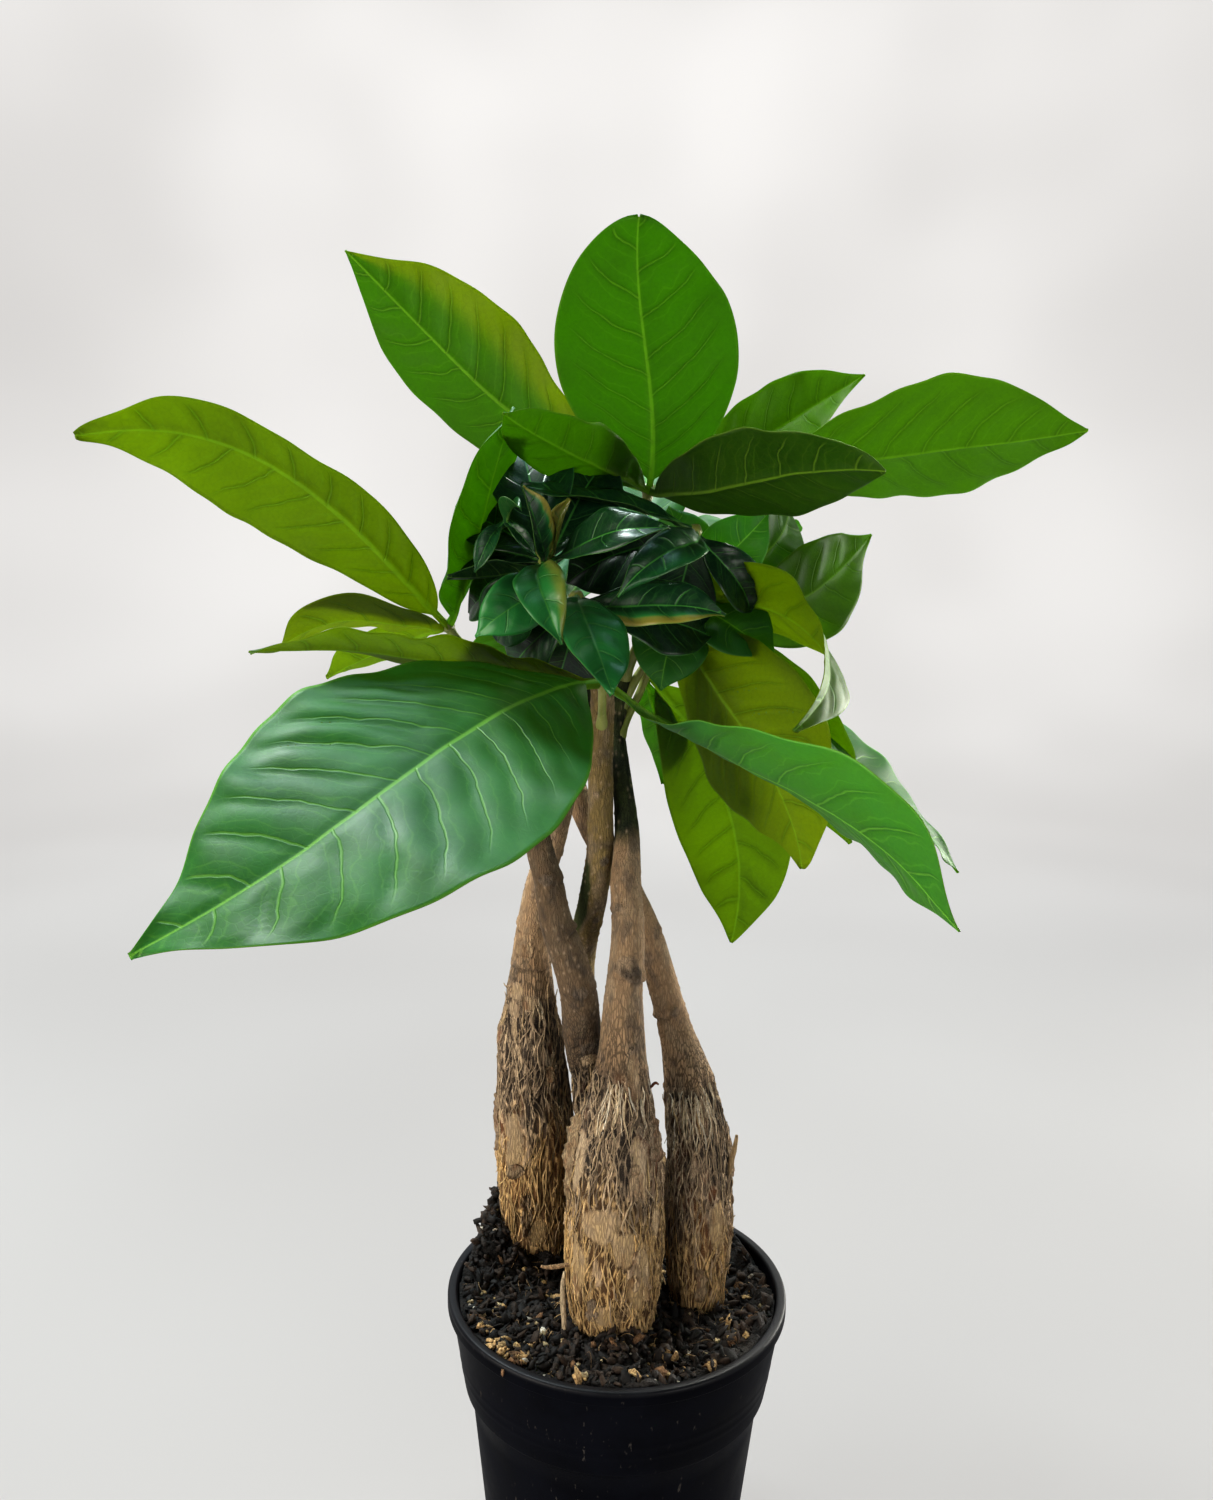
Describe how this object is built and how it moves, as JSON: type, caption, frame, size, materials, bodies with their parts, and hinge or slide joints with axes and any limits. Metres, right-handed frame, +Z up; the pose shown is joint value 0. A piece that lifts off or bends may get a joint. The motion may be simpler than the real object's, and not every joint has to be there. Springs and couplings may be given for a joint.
{
  "type": "potted money tree",
  "caption": "Small potted tree with swollen trunks that cross as they rise from a round plastic nursery pot, and palmate leaves on long stalks.",
  "frame": {"origin": "centre of the pot's underside, where it stands on a surface", "axes": "+Z up along the pot's axis, -Y towards the front as pictured, +X to the right seen from the front"},
  "size_m": [0.3014, 0.3038, 0.4594],
  "materials": {
    "pot": "satin",
    "soil": "matte",
    "bark": "matte",
    "leaf": "satin",
    "young_leaf": "gloss"
  },
  "bodies": {
    "root": {"pot": "pot", "soil": "soil", "trunk_left": "bark", "trunk_crossing": "bark", "trunk_front": "bark", "trunk_right": "bark", "trunk_rear": "bark", "leaf_top": "leaf", "leaf_left": "leaf", "leaf_front": "leaf", "leaf_right": "leaf", "leaf_low": "leaf", "leaf_back_left": "leaf", "leaf_back_right": "leaf", "leaf_young_left": "young_leaf", "leaf_young_front": "young_leaf", "leaf_young_right": "young_leaf"}
  },
  "joints": []
}
